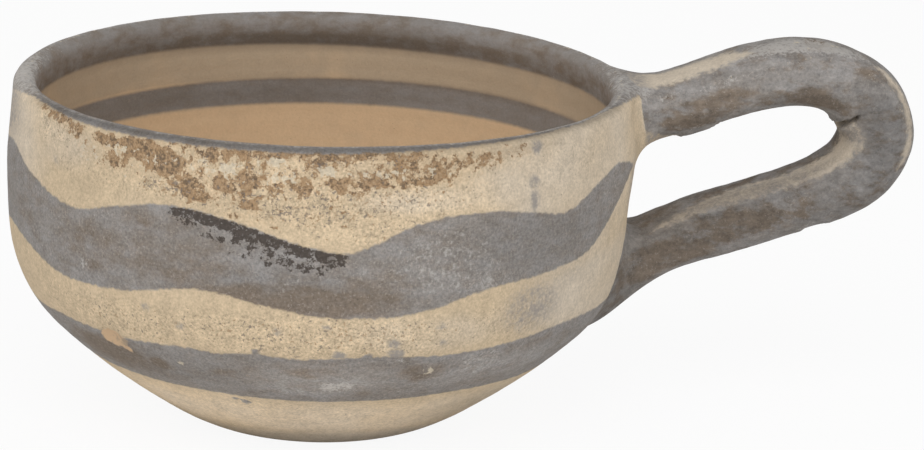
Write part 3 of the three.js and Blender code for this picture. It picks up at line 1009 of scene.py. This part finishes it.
def strapCoats(points):
    along, around = handlePlace(points)
    blank = np.zeros(len(points))
    coats = {name: patched(along, around, ovals) for name, ovals in strapPatches.items()}
    stripes = (outerStripe, 0.28), (innerStripe, 0.26), (rootReserve, 0.4)
    reserved = np.maximum.reduce([stripe(along, around, line) * sharpness for line, sharpness in stripes])
    coats["paint"] = -reserved
    coats["mottled"] = blank + 1.0
    coats["bloom"] = np.maximum(coats["bloom"], 0.22)
    coats["rust"] = np.maximum(coats["rust"], 0.12)
    coats["shade"] = 1.0 - coats.pop("darker")
    coats["chalk"] = 1.0 - 0.8 * ease(np.abs(around), 96, 118) * (1 - ease(along, 6, 12))
    return {**{name: blank for name in ("wash", "burnt", "inside", "dull")}, **coats}


def jointShare(points, wall, strap):
    # above 0 on the strap's side of the painted joint, below 0 on the wall's
    _, around = handlePlace(points)
    share = np.empty(len(points))
    for number, point in enumerate(points):
        spot = Vector(point)
        share[number] = nearby(wall, spot)[0] - nearby(strap, spot)[0]
    degrees, reach = zip(*rootPaint)
    lower = np.interp(np.abs(around), degrees, reach)
    return share + np.where(points[:, 2] > 46, 0.2, lower)


def skinOf(holder, share=None, bare=None):
    # share is None on the bowl itself, which has the wall's coats alone
    points = coordinates(holder) / mm
    coats = wallCoats(points)
    if share is not None:
        own = ease(share, -1.1, 1.1)
        strapSkin = strapCoats(points)
        coats = {name: np.clip(coats[name], -1.6, 1.6) * (1 - own) + np.clip(strapSkin[name], -1.6, 1.6) * own
                 for name in coats}
    coats["paint"] = np.clip(coats["paint"], -3, 3)
    coats["bare"] = np.full(len(points), -9.0) if bare is None else bare
    for name, values in coats.items():
        attribute = holder.data.attributes.new(name, "FLOAT", "POINT")
        attribute.data.foreach_set("value", values.astype(np.float32))


# clay, slip and paint: colours as light of each kind given back, sizes in millimetres

clayLook = {
    "slip": (0.585, 0.462, 0.312),
    "slipChalk": (0.610, 0.525, 0.420),
    "slipInside": (0.680, 0.500, 0.320),
    # the upper inside wall's duller slip, with painted shade in it
    "slipDullAndShaded": (0.470, 0.376, 0.270),
    "stain": (0.300, 0.276, 0.256),
    "haze": (0.425, 0.285, 0.165),
    "wash": (0.322, 0.206, 0.111),
    "washDark": (0.152, 0.107, 0.070),
    "flake": (0.610, 0.530, 0.405),
    "fleck": (0.430, 0.375, 0.330),
    "grey": (0.248, 0.226, 0.206),
    "blueGrey": (0.286, 0.272, 0.262),
    "brown": (0.195, 0.156, 0.122),
    "soot": (0.056, 0.043, 0.035),
    "bloom": (0.520, 0.495, 0.465),
    "speck": (0.175, 0.150, 0.132),
    "redSpeck": (0.360, 0.235, 0.130),
    "body": (0.600, 0.420, 0.262),
    "bodyDark": (0.360, 0.280, 0.200),
}


def skinMaterial(name, look, roughSlip=0.9, roughPaint=0.78):
    material = bpy.data.materials.new(name)
    material.use_nodes = True
    material.node_tree.nodes.clear()
    g = Graph(material.node_tree)
    place = g.out("ShaderNodeTexCoord", None, None, "Object") * 1000.0
    grit = g.named("grit")
    broad = g.grain(place, 14.0, 2.0, 0.5, 1)
    mottle = g.grain(place, 2.4, 4.0, 0.62, 2)
    fine = g.grain(place, 0.5, 3.0, 0.7, 3)
    scatter = g.grain(place, 0.7, 4.0, 0.72, 4)

    # slip: broad change of tone, fine mottle and grain
    slip = g.tint((g.named("chalk") + broad * 0.16).ease(0.0, 1.0), look["slip"], look["slipChalk"])
    cloud = g.grain(place, 7.0, 1.0, 0.5, 19)
    # inside, the upper wall goes towards the duller slip: its own tone, with painted shade in it
    within = g.tint((g.named("dull") + broad * 0.2 + cloud * 0.2).ease(0.0, 1.0), look["slipInside"], look["slipDullAndShaded"])
    slip = g.tint(g.named("inside"), slip, within)
    calm = g.named("inside") * -0.7 + 1.0
    slip = slip * (1.0 + (mottle * (grit * 0.12 + 0.08) + fine * (grit * 0.22 + 0.13)) * calm)

    # wash: thin brown under the rim, flaked off down to the slip
    coverage = g.named("wash")
    haze = (coverage * 1.1 - 0.2 + mottle * 0.25 + scatter * 0.35).ease(0.0, 1.0)
    slip = g.tint(haze * 0.5, slip, look["haze"])
    washed = g.covered(g.grain(place, 1.6, 6.0, 0.68, 5), coverage, 0.06)
    thick = scatter + mottle * 0.5 + coverage * 0.9 - 0.66
    washTone = g.tint(thick.ease(-0.2, 0.75), look["wash"], look["washDark"])
    colour = g.tint(washed * (0.9 + scatter * 0.3), slip, washTone * (1.0 + fine * 0.3))
    flaked = g.covered(g.grain(place, 1.2, 4.0, 0.6, 6), g.named("flaked"), 0.08)
    flakeTone = g.tint(1.0, slip, look["flake"]) * (1.0 + fine * 0.18)

    # specks of grit in the slip, and grey stains on it
    small = g.covered(g.grain(place, 0.6, 2.0, 0.6, 7), grit * 0.36 + coverage * 0.06, 0.2)
    large = g.covered(g.grain(place, 1.4, 5.0, 0.7, 8), grit * 0.27, 0.14)
    speckTone = g.tint(g.grain(place, 2.0, 1.0, 0.5, 9).ease(-0.1, 0.4), look["speck"], look["redSpeck"])
    colour = g.tint(small.atLeast(large) * 0.72, colour, speckTone)
    stained = g.named("stain") * (1.0 + mottle * 0.5 + scatter * 0.7)
    colour = g.tint(stained.ease(0.0, 1.0) * 0.9, colour, look["stain"])
    colour = g.tint(flaked * 0.8, colour, flakeTone)

    # paint: soft brush edges, brown where it is thin, pale dust with a painted highlight along the lip's crest, black
    # where it burnt
    ragged = (g.grain(place, 1.3, 4.0, 0.62, 10) * 0.24 + fine * 0.14) * calm
    painted = ((g.named("paint") + ragged) * (calm * 0.6 + 0.4)).ease(-0.26, 0.3)
    streak = g.grain(place * (0.22, 0.22, 1.0), 3.0, 4.0, 0.6, 11)
    coat = g.tint((streak + broad * 0.6).ease(-1.2, 1.3), look["grey"], look["blueGrey"])
    mottled = g.named("mottled")
    drawn = place * (0.55, 0.55, 1.0)
    thin = (g.named("rust") + g.grain(drawn, 2.4, 5.0, 0.66, 12) * (mottled * 0.5 + 0.14)).ease(0.05, 0.85)
    coat = g.tint(thin, coat, look["brown"])
    blotch = g.grain(drawn, 1.5, 5.0, 0.66, 17) * mottled
    coat = coat * (1.0 + (mottle * 0.07 + fine * (0.3 - mottled * 0.12) + blotch * 0.26) * calm)
    pale = g.covered(g.grain(place, 0.55, 3.0, 0.7, 18), g.named("bloom") * 0.12 - mottled * 0.05 + 0.34, 0.16)
    coat = g.tint(pale * calm * 0.4, coat, look["fleck"])
    bloom = g.named("bloom")
    dustAndHighlight = (scatter * 1.1 + g.grain(place, 2.4, 4.0, 0.65, 13) * 0.45 + bloom * 1.5 - 1.0).ease(0.0, 1.3)
    coat = g.tint(dustAndHighlight * 0.66, coat, look["bloom"])
    sooty = g.covered(g.grain(place, 1.3, 7.0, 0.74, 14), g.named("burnt"), 0.07)
    sooty = sooty * (1.0 - g.covered(g.grain(place, 0.8, 4.0, 0.7, 20), 0.4, 0.12) * 0.66)
    coat = g.tint(sooty * 0.93, coat, g.tint(1.0, coat, look["soot"]) * (1.0 + fine * 0.22))
    onPaint = g.covered(g.grain(place, 1.0, 5.0, 0.68, 15), g.named("flaked") * 0.55 + 0.04, 0.14)
    coat = g.tint(onPaint * 0.75, coat, look["flake"])
    colour = g.tint(painted, colour, coat)

    # bare clay where the skin has chipped off
    chipped = (g.named("bare") + mottle * 0.16 + scatter * 0.12).ease(-0.1, 0.16)
    body = g.tint((mottle + fine * 0.5).ease(-0.2, 0.9), look["body"], look["bodyDark"])
    colour = g.tint(chipped, colour, body) * g.named("shade")

    height = fine * 0.012 + mottle * 0.022 + painted * 0.02 + (flaked - washed) * 0.02 - small * 0.05
    height = height - large * 0.06 + g.grain(place * (0.2, 0.2, 1.0), 0.9, 2.0, 0.5, 16) * 0.008
    bumped = g.out("ShaderNodeBump", None, {"Strength": 0.9, "Distance": mm, "Height": height}, "Normal")
    rough = painted * (roughPaint - roughSlip) + roughSlip - sooty * painted * 0.1
    shader = g.add("ShaderNodeBsdfPrincipled", None,
                   {"Base Color": colour, "Roughness": rough, "Normal": bumped, "Specular IOR Level": 0.3})
    g.add("ShaderNodeOutputMaterial", None, {"Surface": Wire(g, shader.outputs[0])})
    return material


# the pieces, made and tied to the frame

bowlBody = makeBowl(skinMaterial("bowlSkin", clayLook))
bowlBare = press(bowlBody, wallMarks, lambda place: outsidePoint(*place), wallAxes)
print("bowl turned")
loopHandle = makeHandle(skinMaterial("handleSkin", clayLook))
handleBare = press(loopHandle, handleMarks, lambda place: handlePoint(*place), strapAxes)
print("handle pulled")
wallSearch = searchTree(bowlBody)
strapSearch = searchTree(loopHandle)
upperHandleLute = makeLute("upperHandleLute", upperLute, wallSearch, strapSearch, skinMaterial("upperLuteSkin", clayLook))
lowerHandleLute = makeLute("lowerHandleLute", lowerLute, wallSearch, strapSearch, skinMaterial("lowerLuteSkin", clayLook))
print("handle luted on")
skinOf(bowlBody, None, bowlBare)
skinOf(loopHandle, jointShare(coordinates(loopHandle) / mm, wallSearch, strapSearch), handleBare)
for lute in (upperHandleLute, lowerHandleLute):
    skinOf(lute, jointShare(coordinates(lute) / mm, wallSearch, strapSearch))
print("skins painted")

for piece, node, slot in (
    (bowlBody, "bowl_body", "bowl_clay"),
    (loopHandle, "loop_handle", "handle_clay"),
    (upperHandleLute, "upper_handle_lute", "upper_lute_clay"),
    (lowerHandleLute, "lower_handle_lute", "lower_lute_clay"),
):
    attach(piece, "root")
    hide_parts(node)

# floor, light and camera

studio = {
    "floorSize": 6.0,
    "floorColour": (0.95, 0.95, 0.95),
    "floorWhite": 0.92,
    "skyStrength": 0.42,
    "lamps": [
        {"name": "keyLamp", "place": (-0.2, -1.0, 1.15), "size": 1.1, "power": 8.2},
        {"name": "leftLamp", "place": (-1.0, -0.8, 0.4), "size": 1.2, "power": 4.2},
        {"name": "fillLamp", "place": (1.0, -0.85, 0.45), "size": 1.2, "power": 3.7},
    ],
    "target": (0.0, 0.0, 0.035),
    "turn": -6.0,
    "elevation": 15.87,
    "roll": 2.10,
    "distance": 0.5804,
    "across": 0.0271,
    "up": 0.00094,
    "focalPixels": 3000.0,
    "imageWidth": 924,
    "sensorWidth": 36.0,
}


def cameraPath(graph):
    return graph.out("ShaderNodeLightPath", None, None, "Is Camera Ray")


def makeFloor():
    half = studio["floorSize"] / 2
    mesh = bpy.data.meshes.new("floor")
    mesh.from_pydata([(-half, -half, 0), (half, -half, 0), (half, half, 0), (-half, half, 0)], [], [(0, 1, 2, 3)])
    material = bpy.data.materials.new("floorPaper")
    material.use_nodes = True
    material.node_tree.nodes.clear()
    g = Graph(material.node_tree)
    paper = g.out("ShaderNodeBsdfDiffuse", None, {"Color": studio["floorColour"]})
    white = g.out("ShaderNodeEmission", None, {"Color": (1, 1, 1), "Strength": 1.0})
    shown = g.out("ShaderNodeMixShader", None, {0: cameraPath(g) * studio["floorWhite"], 1: paper, 2: white})
    g.add("ShaderNodeOutputMaterial", None, {"Surface": shown})
    mesh.materials.append(material)
    holder = bpy.data.objects.new("floor", mesh)
    bpy.context.scene.collection.objects.link(holder)


def makeSky():
    world = bpy.data.worlds.new("studioSky")
    world.use_nodes = True
    world.node_tree.nodes.clear()
    g = Graph(world.node_tree)
    seen = cameraPath(g)
    strength = seen * (1.0 - studio["skyStrength"]) + studio["skyStrength"]
    sky = g.out("ShaderNodeBackground", None, {"Color": (1, 1, 1), "Strength": strength})
    g.add("ShaderNodeOutputWorld", None, {"Surface": sky})
    bpy.context.scene.world = world


def makeLamp(lamp):
    light = bpy.data.lights.new(lamp["name"], "AREA")
    light.shape = "DISK"
    light.size = lamp["size"]
    light.energy = lamp["power"]
    holder = bpy.data.objects.new(lamp["name"], light)
    holder.location = lamp["place"]
    away = Vector(lamp["place"]) - Vector(studio["target"])
    holder.rotation_euler = away.to_track_quat("Z", "Y").to_euler()
    bpy.context.scene.collection.objects.link(holder)


def makeCamera():
    elevation = math.radians(studio["elevation"])
    back = Vector((0, -math.cos(elevation), math.sin(elevation)))
    right = Vector((1, 0, 0))
    up = right.cross(-back)
    roll = math.radians(studio["roll"])
    right, up = right * math.cos(roll) + up * math.sin(roll), up * math.cos(roll) - right * math.sin(roll)
    place = Vector(studio["target"]) + back * studio["distance"] + right * studio["across"] + up * studio["up"]
    pose = Matrix((right, up, back)).transposed().to_4x4()
    pose.translation = place
    data = bpy.data.cameras.new("camera")
    data.sensor_width = studio["sensorWidth"]
    data.lens = studio["focalPixels"] * studio["sensorWidth"] / studio["imageWidth"]
    data.clip_start = 0.01
    data.clip_end = 20.0
    camera = bpy.data.objects.new("camera", data)
    camera.matrix_world = Matrix.Rotation(math.radians(studio["turn"]), 4, "Z") @ pose
    bpy.context.scene.collection.objects.link(camera)
    bpy.context.scene.camera = camera


makeFloor()
makeSky()
for lamp in studio["lamps"]:
    makeLamp(lamp)
makeCamera()
bpy.context.scene.view_settings.view_transform = "Standard"
print("studio set")
